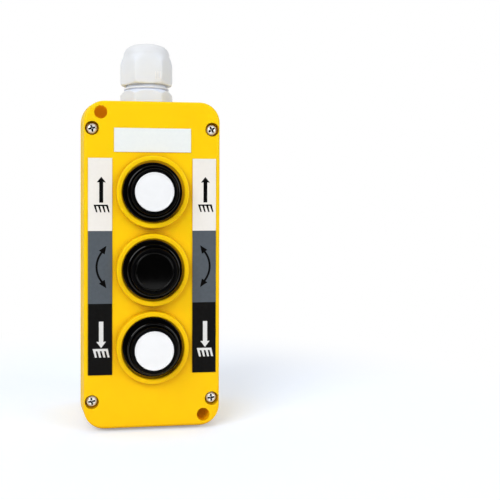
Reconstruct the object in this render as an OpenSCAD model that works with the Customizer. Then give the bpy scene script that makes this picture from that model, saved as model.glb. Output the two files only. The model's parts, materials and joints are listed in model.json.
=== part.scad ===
// Pushbutton control station: an upright case with three spring-return buttons and a cable gland.
// Millimetres. +Z is up and the front faces -Y. The origin is the middle of the bottom face.

/* [Case] */
// Width of the cover at its front face
face_w = 70.2; // [66:0.1:84]
// Height of the cover at its front face
face_h = 167.8; // [164:0.1:200]
// Corner radius of the front face
corner_r = 10.5; // [8:0.1:14]
// Rounding of the front and back edges
edge_r = 1.5; // [0.6:0.1:2]
// Depth of the cover, from its face to the joint
cover_d = 16; // [14:0.5:24]
// Depth of the housing behind the joint
housing_d = 44; // [40:0.5:60]
// How far each cover wall leans outwards between the face and the joint
lean = 1.4; // [0:0.1:2.4]
// How far the housing stands outside the cover at the joint
joint_step = 0.2; // [0:0.1:0.8]
// Wall thickness of both shells
wall = 2.5; // [2.2:0.1:3.2]
// Thickness of the rim that is left outside the gasket
rim_t = 1.1; // [0.8:0.1:1.4]
// Thickness of the cover gasket
seal_t = 1.6; // [1:0.1:3]

/* [Case fastenings] */
// Radius of the cover screw shank
screw_r = 1.5; // [1.2:0.05:1.8]
// Radius of the screw head
screw_head_r = 2.9; // [2.5:0.1:3.2]
// Height of the screw head
screw_head_h = 2.4; // [1.5:0.1:3]
// Length of the screw under its head
screw_l = 24; // [18:0.5:30]
// Depth of the recess that the screw head sits in
recess_d = 3.8; // [3.5:0.1:8]
// Gap round the screw head in its recess
recess_gap = 0.7; // [0.3:0.1:0.9]
// Plastic left round the screw in the housing boss
boss_wall = 2.05; // [1.4:0.05:2.5]
// Plastic left round a screw recess inside the cover
recess_wall = 1.4; // [1:0.1:2]
// Distance from each end of the housing to the screws
screw_inset_z = 15.7; // [15:0.1:24]
// Radius of the two diagonal mounting holes
mount_hole_r = 3.35; // [2:0.05:3.6]
// Plastic left round a mounting hole inside the case
tube_wall = 2; // [1.4:0.05:2.2]
// Distance from the side of the housing to a mounting hole
mount_inset_x = 10.2; // [9:0.1:13]

/* [Button collars] */
// Distance from one button to the next
button_pitch = 39.7; // [38:0.1:48]
// How far the middle button lies below the middle of the case
button_drop = 2.4; // [0:0.1:6]
// Outer radius of a collar
collar_r = 18.5; // [18:0.1:18.8]
// Wall of a collar
collar_wall = 2.6; // [1.8:0.1:2.8]
// Height of a collar over the face
collar_h = 4; // [2:0.1:6]
// Radius of the hole in the face for a button
panel_hole_r = 11.2; // [11.1:0.05:11.6]

/* [Buttons] */
// Radius of the threaded sleeve that passes through the face
sleeve_r = 11; // [10.6:0.1:11]
// Radius of the bore inside the sleeve
sleeve_bore_r = 9.2; // [9:0.1:9.6]
// How far the sleeve reaches behind the front face
sleeve_l = 14; // [13:0.5:18]
// Radius of the flange at its foot
flange_r = 14.5; // [14:0.1:15.2]
// Radius of the flange at its front edge
flange_front_r = 13.5; // [13.3:0.1:13.9]
// Height of the flange over the face
flange_h = 7; // [6.6:0.1:9]
// Height of the flange's straight foot over the face
flange_foot_h = 3.2; // [2:0.1:4]
// Thickness of the rubber washer under the flange
washer_t = 1; // [0.5:0.1:1.5]
// Thickness of the ledge below the cap
ledge_t = 1.2; // [1:0.1:1.4]
// Radius of the moving cap
cap_r = 11.8; // [11.2:0.1:12]
// Gap between the cap and the flange
cap_gap = 0.35; // [0.3:0.05:0.6]
// Height of the cap over the face at rest
cap_h = 11; // [10:0.1:12]
// Radius of the insert in the cap
disc_r = 10; // [8:0.1:10.2]
// Thickness of the insert at its edge
disc_t = 1.4; // [0.8:0.1:1.6]
// How far the middle of the insert bulges over its edge
disc_crown = 0.3; // [0:0.05:0.6]
// How far a button travels
travel = 4; // [2:0.1:4.4]
// Radius of the stem under the cap
stem_r = 6; // [5:0.1:6.2]
// Running gap between the stem and its guide
stem_gap = 0.08; // [0.02:0.01:0.1]
// Length of the guide at the end of the sleeve
guide_l = 4; // [3.2:0.1:5]
// Wire radius of the return spring
spring_wire_r = 0.6; // [0.3:0.05:0.7]
// Turns of the return spring
spring_turns = 6; // [3:1:7]
// Thickness of the fixing nut
fixing_nut_t = 4.4; // [3:0.1:5]
// Outer radius of the fixing nut
fixing_nut_r = 14.2; // [13:0.1:15]

/* [Contact blocks] */
// Width of a contact block
block_w = 34; // [33:0.5:44]
// Height of a contact block
block_h = 24; // [24:0.5:34]
// Depth of a contact block
block_d = 20; // [19:0.5:24]
// Thickness of a contact block's walls
block_wall = 3; // [2:0.1:3.4]
// Thickness of the moving contact bridge
bridge_t = 1.2; // [0.8:0.1:1.6]
// Gap between the moving contact bridge and the walls beside its ends
bridge_gap = 1.2; // [0.6:0.1:2]
// Gap that is left between the contacts at full travel
contact_gap = 0.25; // [0.2:0.05:0.6]
// Thickness of a fixed contact strip
strip_t = 1; // [0.6:0.1:1.2]

/* [Cable gland] */
// Width across flats of the gland's hexagons
gland_af = 26; // [25:0.5:30]
// Radius of the thread that passes through the case
thread_r = 11.25; // [10.5:0.05:11.5]
// Distance from the joint back to the gland's axis
gland_back = 22; // [18:0.5:22]
// Thickness of the washer under the gland
gland_washer_t = 1.2; // [0.8:0.1:2]
// Height of the body's hexagon
gland_hex_h = 7.6; // [6:0.1:12]
// Chamfer round the top of the body's hexagon
gland_hex_chamfer = 2.2; // [1:0.1:2.6]
// Height of the bare neck between the body and the nut
neck_h = 1.9; // [1.4:0.1:3]
// Height of the clamping nut's hexagon, with its chamfers
nut_hex_h = 17.8; // [16:0.1:24]
// Height of the clamping nut's dome
nut_dome_h = 6; // [4:0.1:8]
// Radius of the hole in the top of the clamping nut
nut_hole_r = 6.5; // [6:0.1:8]
// Radius of the dome where it meets the hexagon
nut_dome_r = 12.85; // [12.4:0.05:12.9]
// Radius of the cable hole in the sealing insert
seal_bore_r = 5; // [3:0.1:6]
// Length of the sealing insert
gland_seal_l = 9; // [7:0.1:10]
// Thickness of the lock nut
locknut_t = 5; // [3:0.1:7]
// How far the gland's thread reaches under the case's top wall
thread_reach = 8; // [6:0.1:14]

/* [Labels] */
// Thickness of the labels
label_t = 0.4; // [0.2:0.05:0.8]
// Width of the rating plate
plate_w = 39.5; // [30:0.5:50]
// Gap between the rating plate and the upper button's collar
plate_gap = 2; // [1:0.1:4]
// Distance from the top of the housing to the rating plate
plate_top = 15.5; // [12:0.1:17]
// Width of a legend strip
legend_w = 12.2; // [8:0.1:12.6]
// Distance from the face's side to a legend strip
legend_inset = 2.2; // [2:0.1:3]
// Distance from the top of the housing to the legend strips
legend_top = 30.9; // [30:0.1:34]
// Height of the two upper legend fields
legend_h = 37.1; // [30:0.1:37.4]
// Height of the lowest legend field
legend_low_h = 36.4; // [30:0.1:37]

/* [Hidden] */
$fn = 72;

// Overshoot of a cutting tool past the face it cuts
over = 0.5;
// Gap between pieces that are seated on each other and never move
seat_gap = 0.05;
// Steps along a rounded edge
arc_steps = 5;

// Planes of the case, along Y
face_y = -(cover_d + housing_d) / 2;
joint_y = face_y + cover_d;
back_y = joint_y + housing_d;

// Outline of the housing and the middles of its corner arcs
base_r = corner_r + lean + joint_step;
base_w = face_w + 2 * (lean + joint_step);
base_h = face_h + 2 * (lean + joint_step);
mid_z = base_h / 2;
corner_x = face_w / 2 - corner_r;
corner_z = face_h / 2 - corner_r;

// Places of the screws and the mounting holes, from the middle of the case
boss_sink = 0.35;
pilot_r = screw_r + seat_gap;
boss_r = pilot_r + boss_wall;
recess_r = screw_head_r + recess_gap;
cover_boss_r = recess_r + recess_wall;
screw_x = base_w / 2 - wall - boss_r + boss_sink;
screw_z = base_h / 2 - screw_inset_z;
tube_r = mount_hole_r + tube_wall;
mount_x = base_w / 2 - mount_inset_x;
mount_z = base_h / 2 - wall - tube_r + boss_sink;

// Heights of the three buttons
turn_z = mid_z - button_drop;
raise_z = turn_z + button_pitch;
lower_z = turn_z - button_pitch;

// Levels of a button along its own axis, which points out of the face
ledge_z = washer_t + ledge_t;
cap_foot_z = ledge_z + travel + 0.2;
guide_z = guide_l - sleeve_l;
cap_bore_r = cap_r + cap_gap;
guide_r = stem_r + stem_gap;
spring_pocket_d = 1.5;
spring_mid_r = (stem_r + sleeve_bore_r) / 2 + 0.2;
key_w = 3;
key_r = panel_hole_r + 0.8;

// The stem's retaining collar, its tip and the pin that carries the bridge
stop_gap = 0.1;
stop_r = stem_r + 1.2;
stop_t = 1.9;
tip_r = 3;
tip_l = 3;
pin_r = 1.5;
pin_head_r = 2.4;
pin_head_t = 1;
spigot_r = 3;
spigot_l = 1.1;
stop_z = -sleeve_l - stop_gap;
tip_z = stop_z - stop_t - tip_l;
pin_z = tip_z - bridge_t - 2 * seat_gap;

// Contacts: places along the block's width and levels along the button's axis
tab_r = 1.6;
tab_t = 0.6;
tab_inset = 0.2;
bridge_w = 6;
strip_w = 6;
strip_end = 0.5;
slot_gap = 0.1;
strip_z = pin_z - travel - contact_gap - 2 * tab_t + seat_gap;
pocket_d = 5;
pocket_w = 9;
cavity_x = block_w / 2 - pocket_d - 1.5;
cavity_y = block_h / 2 - block_wall - 1;
bridge_l = 2 * (cavity_x - bridge_gap);
tab_x = bridge_l / 2 - tab_r - tab_inset;
pocket_x = block_w / 2 - pocket_d;
terminal_x = pocket_x + pocket_d / 2;
terminal_head_r = 2.3;
terminal_head_h = 2;
terminal_l = 5;

// The gland: its axis, the corners of its hexagons and its levels over the case
gland_y = joint_y + gland_back;
hex_corner_r = gland_af / 2 / cos(30);
hex_trim_r = hex_corner_r - 0.3;
gland_hex_z = gland_washer_t + gland_hex_h;
nut_z = gland_hex_z + neck_h;
dome_z = nut_z + nut_hex_h;
nut_top_z = dome_z + nut_dome_h;
nut_bore_r = thread_r + 0.2;
neck_r = thread_r + 0.55;
lip_r = neck_r + 0.5;
lip_t = 0.6;
lip_gap = 0.5;
claw_r = thread_r - 0.9;
claw_bore_r = 8.2;
claw_z = dome_z - 8;
claw_top_z = dome_z + 0.6;
claw_slot_w = 1.4;
claw_root = 0.4;
claw_count = 12;

// Shared shapes

// A quarter-round from straight up to straight out, about a centre at (r, z)
function quarter(r, z, size, flip = 1) = [
    for (i = [0 : arc_steps])
        let (a = 90 * i / arc_steps)
        [r + size * sin(a), z + flip * size * cos(a)]
];

function reversed(list) = [for (i = [len(list) - 1 : -1 : 0]) list[i]];

// A round-cornered box along Y. The outline lists [corner radius, y] from front to back
module case_block(outline) {
    right = [for (p = outline) [corner_x + p[0], p[1]]];
    left = [for (p = reversed(outline)) [-corner_x - p[0], p[1]]];
    top = [for (p = outline) [corner_z + p[0], p[1]]];
    bottom = [for (p = reversed(outline)) [-corner_z - p[0], p[1]]];
    first = outline[0];
    last = outline[len(outline) - 1];
    translate([0, 0, mid_z - corner_z]) linear_extrude(2 * corner_z)
        polygon(concat(right, left));
    translate([corner_x, 0, mid_z]) rotate([0, -90, 0]) linear_extrude(2 * corner_x)
        polygon(concat(top, bottom));
    for (sx = [-1, 1], sz = [-1, 1])
        translate([sx * corner_x, 0, mid_z + sz * corner_z]) rotate([-90, 0, 0]) rotate_extrude()
            polygon(concat([[0, first[1]]], outline, [[0, last[1]]]));
}

// A cylinder along Y, at (x, z) from the middle of the case, between two planes
module bar(x, z, r, y0, y1) {
    translate([x, y0, mid_z + z]) rotate([-90, 0, 0]) cylinder(r = r, h = y1 - y0);
}

module ring(outer, inner, low, high) {
    translate([0, 0, low]) difference() {
        cylinder(r = outer, h = high - low);
        translate([0, 0, -over]) cylinder(r = inner, h = high - low + 2 * over);
    }
}

module block(x0, x1, y0, y1, z0, z1) {
    translate([x0, y0, z0]) cube([x1 - x0, y1 - y0, z1 - z0]);
}

// Puts its children in a button's own frame: Z points out of the face
module at_button(z) {
    translate([0, face_y, z]) rotate([90, 0, 0]) children();
}

// Puts its children on the top of the case, on the gland's axis
module at_gland() {
    translate([0, gland_y, base_h]) children();
}

module at_screws() {
    for (sx = [-1, 1], sz = [-1, 1])
        translate([sx * screw_x, face_y + recess_d, mid_z + sz * screw_z]) rotate([90, 0, 0])
            children();
}

// Bars at the four screws and at the two mounting holes, which lie on one diagonal
module screw_bars(r, y0, y1) {
    for (sx = [-1, 1], sz = [-1, 1]) bar(sx * screw_x, sz * screw_z, r, y0, y1);
}

module mount_bars(r, y0, y1) {
    for (s = [-1, 1]) bar(-s * mount_x, s * mount_z, r, y0, y1);
}

// Case

function cover_r(depth) = corner_r + lean * depth / cover_d;

module cover_shell() {
    case_block(concat(
        [for (p = quarter(corner_r - edge_r, face_y + edge_r, edge_r, -1)) p],
        [[cover_r(cover_d), joint_y]]
    ));
}

module cover_cavity() {
    difference() {
        case_block([
            [cover_r(wall) - wall, face_y + wall],
            [cover_r(cover_d) - wall, joint_y],
            [cover_r(cover_d) - wall, joint_y + over]
        ]);
        screw_bars(cover_boss_r, face_y, joint_y + 2 * over);
        mount_bars(tube_r, face_y, joint_y + 2 * over);
    }
}

// A raised ring round a button, with a sloping foot and a rounded top
module collar() {
    top_round = 0.7;
    foot = 0.35;
    rotate_extrude() polygon(concat(
        [[collar_r - collar_wall, -wall / 2], [collar_r + foot, -wall / 2], [collar_r + foot, 0]],
        reversed(quarter(collar_r - top_round, collar_h - top_round, top_round)),
        [[collar_r - collar_wall + 0.4, collar_h], [collar_r - collar_wall, collar_h - 0.4]]
    ));
}

module front_cover() {
    color("gold") difference() {
        union() {
            cover_shell();
            for (z = [raise_z, turn_z, lower_z]) at_button(z) collar();
        }
        cover_cavity();
        screw_bars(screw_r + 0.4, face_y, joint_y + over);
        screw_bars(recess_r, face_y - over, face_y + recess_d);
        mount_bars(mount_hole_r, face_y - over, joint_y + over);
        for (z = [raise_z, turn_z, lower_z]) at_button(z) {
            translate([0, 0, -wall - over]) cylinder(r = panel_hole_r, h = wall + 2 * over);
            block(-key_w / 2 - 0.2, key_w / 2 + 0.2, 0, key_r + 0.2, -wall - over, over);
        }
    }
}

module housing_shell() {
    case_block(concat(
        [[base_r, joint_y]],
        reversed(quarter(base_r - edge_r, back_y - edge_r, edge_r))
    ));
}

module housing_cavity() {
    difference() {
        case_block([[base_r - wall, joint_y - over], [base_r - wall, back_y - wall]]);
        screw_bars(boss_r, joint_y, back_y);
        mount_bars(tube_r, joint_y, back_y);
    }
}

// The step inside the rim that the gasket lies in
module gasket_ring(y0, y1, inner_r = base_r - wall) {
    difference() {
        case_block([[base_r - rim_t, y0], [base_r - rim_t, y1]]);
        case_block([[inner_r, y0 - over], [inner_r, y1 + over]]);
    }
}

module rear_housing() {
    color("gold") difference() {
        housing_shell();
        housing_cavity();
        gasket_ring(joint_y - over, joint_y + seal_t, base_r - wall - boss_sink);
        screw_bars(pilot_r, joint_y - over, face_y + recess_d + screw_l + 2);
        mount_bars(mount_hole_r, joint_y - over, back_y + over);
        at_gland() translate([0, 0, -wall - over])
            cylinder(r = thread_r + 0.15, h = wall + 2 * over);
    }
}

module cover_gasket() {
    color("dimgray") gasket_ring(joint_y, joint_y + seal_t);
}

module cover_screws() {
    crown = 0.8;
    color("silver") at_screws() rotate_extrude() polygon(concat(
        [[0, -screw_l], [screw_r - 0.7, -screw_l], [screw_r, -screw_l + 1.5], [screw_r, 0]],
        [[screw_head_r, 0]],
        reversed(quarter(screw_head_r - crown, screw_head_h - crown, crown)),
        [[0, screw_head_h]]
    ));
}

// Cable gland

// A hexagon with its corners trimmed by a turned outline of [radius, height] points
module turned_hexagon(outline) {
    first = outline[0];
    last = outline[len(outline) - 1];
    intersection() {
        translate([0, 0, first[1] - over])
            cylinder(r = hex_corner_r, h = last[1] - first[1] + 2 * over, $fn = 6);
        rotate_extrude() polygon(concat([[0, first[1]]], outline, [[0, last[1]]]));
    }
}

module gland_body() {
    color("whitesmoke") at_gland() difference() {
        union() {
            turned_hexagon([
                [hex_trim_r, gland_washer_t],
                [hex_trim_r, gland_hex_z - gland_hex_chamfer],
                [hex_trim_r - gland_hex_chamfer, gland_hex_z]
            ]);
            translate([0, 0, -wall - thread_reach])
                cylinder(r = thread_r, h = wall + thread_reach + claw_z);
            translate([0, 0, gland_washer_t])
                cylinder(r = neck_r, h = gland_hex_z + lip_gap + lip_t / 2 - gland_washer_t);
            translate([0, 0, gland_hex_z + lip_gap]) cylinder(r = lip_r, h = lip_t);
            translate([0, 0, claw_z]) cylinder(r = claw_r, h = claw_top_z - claw_z);
        }
        translate([0, 0, -wall - thread_reach - over])
            cylinder(r = claw_bore_r - 0.6, h = wall + thread_reach + claw_z + over);
        translate([0, 0, claw_z - 1]) cylinder(r = claw_bore_r, h = claw_top_z - claw_z + 2);
        for (i = [0 : claw_count / 2 - 1]) rotate([0, 0, 360 * i / claw_count])
            block(-claw_slot_w / 2, claw_slot_w / 2, -claw_r - over, claw_r + over,
                claw_z + claw_root, claw_top_z + over);
    }
}

// The dome falls from the hexagon to the rim of the cable hole along a quarter of an ellipse
function dome_outline(grow) = [
    for (i = [0 : 2 * arc_steps])
        let (a = 90 * i / (2 * arc_steps))
        [
            nut_hole_r + (nut_dome_r + grow - nut_hole_r) * cos(a),
            dome_z + (nut_dome_h + grow) * sin(a)
        ]
];

module gland_dome_nut() {
    foot_chamfer = 0.5;
    shoulder = 4;
    crown = 1.2;
    skin = 1.9;
    outer = concat(dome_outline(0), [[nut_hole_r - 0.5, nut_top_z - 0.3]]);
    inner_low = claw_z - 0.5;
    color("whitesmoke") at_gland() difference() {
        union() {
            turned_hexagon([
                [hex_trim_r - foot_chamfer, nut_z],
                [hex_trim_r, nut_z + 1.5 * foot_chamfer],
                [hex_trim_r, dome_z - shoulder],
                [nut_dome_r - 0.15, dome_z - crown]
            ]);
            rotate_extrude() polygon(concat([[0, nut_z + 2], [nut_dome_r - 0.2, nut_z + 2]], outer,
                [[0, nut_top_z - 0.3]]));
        }
        translate([0, 0, nut_z - over]) cylinder(r = nut_bore_r, h = inner_low - nut_z + over);
        rotate_extrude() polygon([
            [0, inner_low - over],
            [nut_bore_r, inner_low - over],
            [nut_bore_r, dome_z - 1],
            [claw_r + 0.3, dome_z + 1.2],
            [nut_hole_r, nut_top_z - skin],
            [nut_hole_r, nut_top_z + over],
            [0, nut_top_z + over]
        ]);
    }
}

module gland_seal() {
    low = claw_top_z - gland_seal_l;
    color("dimgray") at_gland()
        ring(claw_bore_r - seat_gap, seal_bore_r, low, claw_top_z);
}

module gland_washer() {
    color("dimgray") at_gland() ring(gland_af / 2, thread_r + seat_gap, 0, gland_washer_t);
}

module gland_locknut() {
    color("whitesmoke") at_gland() difference() {
        turned_hexagon([
            [hex_trim_r - 0.8, -wall - locknut_t],
            [hex_trim_r, -wall - locknut_t + 0.8],
            [hex_trim_r, -wall]
        ]);
        translate([0, 0, -wall - locknut_t - over])
            cylinder(r = thread_r + seat_gap, h = locknut_t + 2 * over);
    }
}

// Labels

module nameplate() {
    top = base_h - plate_top;
    low = raise_z + collar_r + plate_gap;
    color("white")
        block(-plate_w / 2, plate_w / 2, face_y - label_t, face_y, low, top);
}

// The two fields of one colour, left and right of the buttons
module legend_pair(top, height) {
    outer_x = face_w / 2 - legend_inset;
    for (s = [-1, 1])
        translate([s * (outer_x - legend_w / 2), face_y - label_t, top - height])
            translate([-legend_w / 2, 0, 0]) cube([legend_w, label_t, height]);
}

module legend_raise() {
    color("white") legend_pair(base_h - legend_top, legend_h);
}

module legend_turn() {
    color("slategray") legend_pair(base_h - legend_top - legend_h, legend_h);
}

module legend_lower() {
    color("black") legend_pair(base_h - legend_top - 2 * legend_h, legend_low_h);
}

// Buttons, each drawn in its own frame

module button_body() {
    front_round = 0.8;
    groove_in = 1.2;
    color("black") {
        rotate_extrude() polygon(concat(
            [
                [guide_r, -sleeve_l],
                [sleeve_r, -sleeve_l],
                [sleeve_r, washer_t],
                [flange_r, washer_t],
                [flange_r, flange_foot_h]
            ],
            reversed(quarter(flange_front_r - front_round, flange_h - front_round, front_round)),
            [
                [cap_bore_r + 0.3, flange_h],
                [cap_bore_r, flange_h - 0.3],
                [cap_bore_r, ledge_z],
                [sleeve_bore_r, ledge_z],
                [sleeve_bore_r, guide_z],
                [guide_r, guide_z],
                [guide_r, guide_z - groove_in],
                [guide_r + 1.5, guide_z - groove_in],
                [guide_r + 1.5, guide_z - groove_in - 1.6],
                [guide_r, guide_z - groove_in - 1.6]
            ]
        ));
        block(-key_w / 2, key_w / 2, sleeve_r - 1, key_r, -wall, 0);
    }
}

module stem_seal() {
    groove_in = 1.2;
    color("dimgray")
        ring(guide_r + 1.5 - seat_gap, guide_r, guide_z - groove_in - 1.55, guide_z - groove_in - 0.05);
}

module panel_gasket() {
    color("dimgray") ring(flange_r - 0.7, sleeve_r + seat_gap, 0, washer_t);
}

module fixing_nut() {
    notch_w = 3;
    color("dimgray") difference() {
        ring(fixing_nut_r, sleeve_r + seat_gap, -wall - fixing_nut_t, -wall);
        for (i = [0 : 7]) rotate([0, 0, 45 * i])
            block(fixing_nut_r - 1.2, fixing_nut_r + 1, -notch_w / 2, notch_w / 2,
                -wall - fixing_nut_t - over, -wall - 1);
    }
}

module cap() {
    edge = 0.8;
    seat_r = disc_r + seat_gap;
    color("black") rotate_extrude() polygon(concat(
        [
            [0, cap_foot_z + spigot_l + 0.1],
            [spigot_r + seat_gap, cap_foot_z + spigot_l + 0.1],
            [spigot_r + seat_gap, cap_foot_z],
            [spring_mid_r - spring_wire_r - 0.4, cap_foot_z],
            [spring_mid_r - spring_wire_r - 0.4, cap_foot_z + spring_pocket_d],
            [spring_mid_r + spring_wire_r + 0.4, cap_foot_z + spring_pocket_d],
            [spring_mid_r + spring_wire_r + 0.4, cap_foot_z],
            [cap_r, cap_foot_z]
        ],
        reversed(quarter(cap_r - edge, cap_h - edge, edge)),
        [[seat_r, cap_h], [seat_r, cap_h - disc_t], [0, cap_h - disc_t]]
    ));
}

module cap_disc(tint) {
    edge = 0.3;
    steps = 2 * arc_steps;
    color(tint) rotate_extrude() polygon(concat(
        [[0, cap_h - disc_t], [disc_r, cap_h - disc_t], [disc_r, cap_h - edge]],
        [
            for (i = [0 : steps])
                let (r = (disc_r - edge) * (1 - i / steps))
                [r, cap_h + disc_crown * (1 - pow(r / (disc_r - edge), 2))]
        ]
    ));
}

module plunger() {
    color("whitesmoke") rotate_extrude() polygon([
        [0, cap_foot_z + spigot_l],
        [spigot_r, cap_foot_z + spigot_l],
        [spigot_r, cap_foot_z],
        [stem_r, cap_foot_z],
        [stem_r, stop_z],
        [stop_r, stop_z],
        [stop_r, stop_z - stop_t],
        [tip_r, stop_z - stop_t],
        [tip_r, tip_z],
        [pin_r, tip_z],
        [pin_r, pin_z],
        [pin_head_r, pin_z],
        [pin_head_r, pin_z - pin_head_t],
        [0, pin_z - pin_head_t]
    ]);
}

// A coil of round wire that stands on Z = 0, with its end turns closer together
module coil(mid_r, wire_r, length, turns) {
    steps = 16;
    sides = 6;
    count = turns * steps;
    rise = length - 2 * wire_r;
    points = [
        for (i = [0 : count])
            let (t = i / count, z = wire_r + rise * (t - 0.5 * sin(360 * t) / (2 * PI)))
            for (k = [0 : sides - 1])
                let (a = 360 * i / steps, c = 360 * k / sides, r = mid_r + wire_r * cos(c))
                [r * cos(a), r * sin(a), z + wire_r * sin(c)]
    ];
    skin = [
        for (i = [0 : count - 1], k = [0 : sides - 1])
            let (a = i * sides + k, b = i * sides + (k + 1) % sides)
            each [[a, b, a + sides], [b, b + sides, a + sides]]
    ];
    first = [for (k = [sides - 1 : -1 : 0]) k];
    last = [for (k = [0 : sides - 1]) count * sides + k];
    polyhedron(points, concat(skin, [first, last]));
}

module return_spring() {
    length = cap_foot_z + spring_pocket_d - guide_z;
    color("silver") translate([0, 0, guide_z])
        coil(spring_mid_r, spring_wire_r, length, spring_turns);
}

// Contacts, in the button's frame

module contact_block() {
    socket_r = sleeve_r + seat_gap;
    back = -sleeve_l - block_d;
    color("darkslategray") difference() {
        union() {
            block(-block_w / 2, block_w / 2, -block_h / 2, block_h / 2, back, -sleeve_l);
            translate([0, 0, -sleeve_l - 1]) cylinder(r = socket_r + 1.9, h = 5);
        }
        translate([0, 0, -sleeve_l]) cylinder(r = socket_r, h = 4 + over);
        translate([0, 0, -sleeve_l - block_wall - over])
            cylinder(r = stop_r + 0.5, h = block_wall + 2 * over);
        block(-cavity_x, cavity_x, -cavity_y, cavity_y, back + block_wall, -sleeve_l - block_wall);
        for (s = [0, 180]) rotate([0, 0, s]) {
            block(pocket_x, block_w / 2 + over, -pocket_w / 2, pocket_w / 2, back - over, strip_z);
            block(cavity_x - over, pocket_x + over, -strip_w / 2 - slot_gap, strip_w / 2 + slot_gap,
                strip_z - strip_t - slot_gap, strip_z);
            translate([terminal_x, 0, strip_z - over])
                cylinder(r = screw_r + seat_gap, h = terminal_l + over);
        }
    }
}

module contact_bridge() {
    top = tip_z - seat_gap;
    color("darkgoldenrod") difference() {
        union() {
            block(-bridge_l / 2, bridge_l / 2, -bridge_w / 2, bridge_w / 2, top - bridge_t, top);
            for (s = [-1, 1]) translate([s * tab_x, 0, top - bridge_t - tab_t])
                cylinder(r = tab_r, h = tab_t + 0.1);
        }
        translate([0, 0, top - bridge_t - over]) cylinder(r = pin_r + seat_gap, h = bridge_t + 2 * over);
    }
}

module fixed_contacts() {
    inner = tab_x - tab_r - 0.4;
    color("darkgoldenrod") for (s = [0, 180]) rotate([0, 0, s]) difference() {
        union() {
            block(inner, block_w / 2 - strip_end, -strip_w / 2, strip_w / 2, strip_z - strip_t, strip_z);
            translate([tab_x, 0, strip_z - 0.1]) cylinder(r = tab_r, h = tab_t + 0.1);
        }
        translate([terminal_x, 0, strip_z - strip_t - over])
            cylinder(r = screw_r + seat_gap, h = strip_t + 2 * over);
    }
}

module terminal_screws() {
    head_z = strip_z - strip_t;
    color("silver") for (s = [0, 180]) rotate([0, 0, s]) translate([terminal_x, 0, 0]) {
        translate([0, 0, head_z - 0.1]) cylinder(r = screw_r, h = terminal_l);
        translate([0, 0, head_z - terminal_head_h]) cylinder(r = terminal_head_r, h = terminal_head_h);
    }
}

front_cover();
rear_housing();
cover_gasket();
cover_screws();
gland_body();
gland_dome_nut();
gland_seal();
gland_washer();
gland_locknut();
nameplate();
legend_raise();
legend_turn();
legend_lower();
at_button(raise_z) button_body();  // button_body_raise
at_button(turn_z) button_body();  // button_body_turn
at_button(lower_z) button_body();  // button_body_lower
at_button(raise_z) panel_gasket();  // panel_gasket_raise
at_button(turn_z) panel_gasket();  // panel_gasket_turn
at_button(lower_z) panel_gasket();  // panel_gasket_lower
at_button(raise_z) fixing_nut();  // fixing_nut_raise
at_button(turn_z) fixing_nut();  // fixing_nut_turn
at_button(lower_z) fixing_nut();  // fixing_nut_lower
at_button(raise_z) stem_seal();  // stem_seal_raise
at_button(turn_z) stem_seal();  // stem_seal_turn
at_button(lower_z) stem_seal();  // stem_seal_lower
at_button(raise_z) cap();  // cap_raise
at_button(turn_z) cap();  // cap_turn
at_button(lower_z) cap();  // cap_lower
at_button(raise_z) cap_disc("white");  // cap_disc_raise
at_button(turn_z) cap_disc("black");  // cap_disc_turn
at_button(lower_z) cap_disc("white");  // cap_disc_lower
at_button(raise_z) plunger();  // plunger_raise
at_button(turn_z) plunger();  // plunger_turn
at_button(lower_z) plunger();  // plunger_lower
at_button(raise_z) return_spring();  // return_spring_raise
at_button(turn_z) return_spring();  // return_spring_turn
at_button(lower_z) return_spring();  // return_spring_lower
at_button(raise_z) contact_block();  // contact_block_raise
at_button(turn_z) contact_block();  // contact_block_turn
at_button(lower_z) contact_block();  // contact_block_lower
at_button(raise_z) contact_bridge();  // contact_bridge_raise
at_button(turn_z) contact_bridge();  // contact_bridge_turn
at_button(lower_z) contact_bridge();  // contact_bridge_lower
at_button(raise_z) fixed_contacts();  // fixed_contacts_raise
at_button(turn_z) fixed_contacts();  // fixed_contacts_turn
at_button(lower_z) fixed_contacts();  // fixed_contacts_lower
at_button(raise_z) terminal_screws();  // terminal_screws_raise
at_button(turn_z) terminal_screws();  // terminal_screws_turn
at_button(lower_z) terminal_screws();  // terminal_screws_lower
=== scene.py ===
"""Looks of a three-button control station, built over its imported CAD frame.

Sizes in the classes are in millimetres, in the frame of the CAD: X to the right,
Y from the front to the back, Z up, and the origin under the middle of the case.
They become metres where a mesh, a material or the camera is made. The floor and
the lamps are given in metres.
"""

from __future__ import annotations

import json
import logging
import math
from abc import ABC, abstractmethod
from dataclasses import dataclass
from enum import Enum
from functools import cached_property
from typing import Any

import bmesh
import bpy
from mathutils import Matrix, Vector

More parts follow.
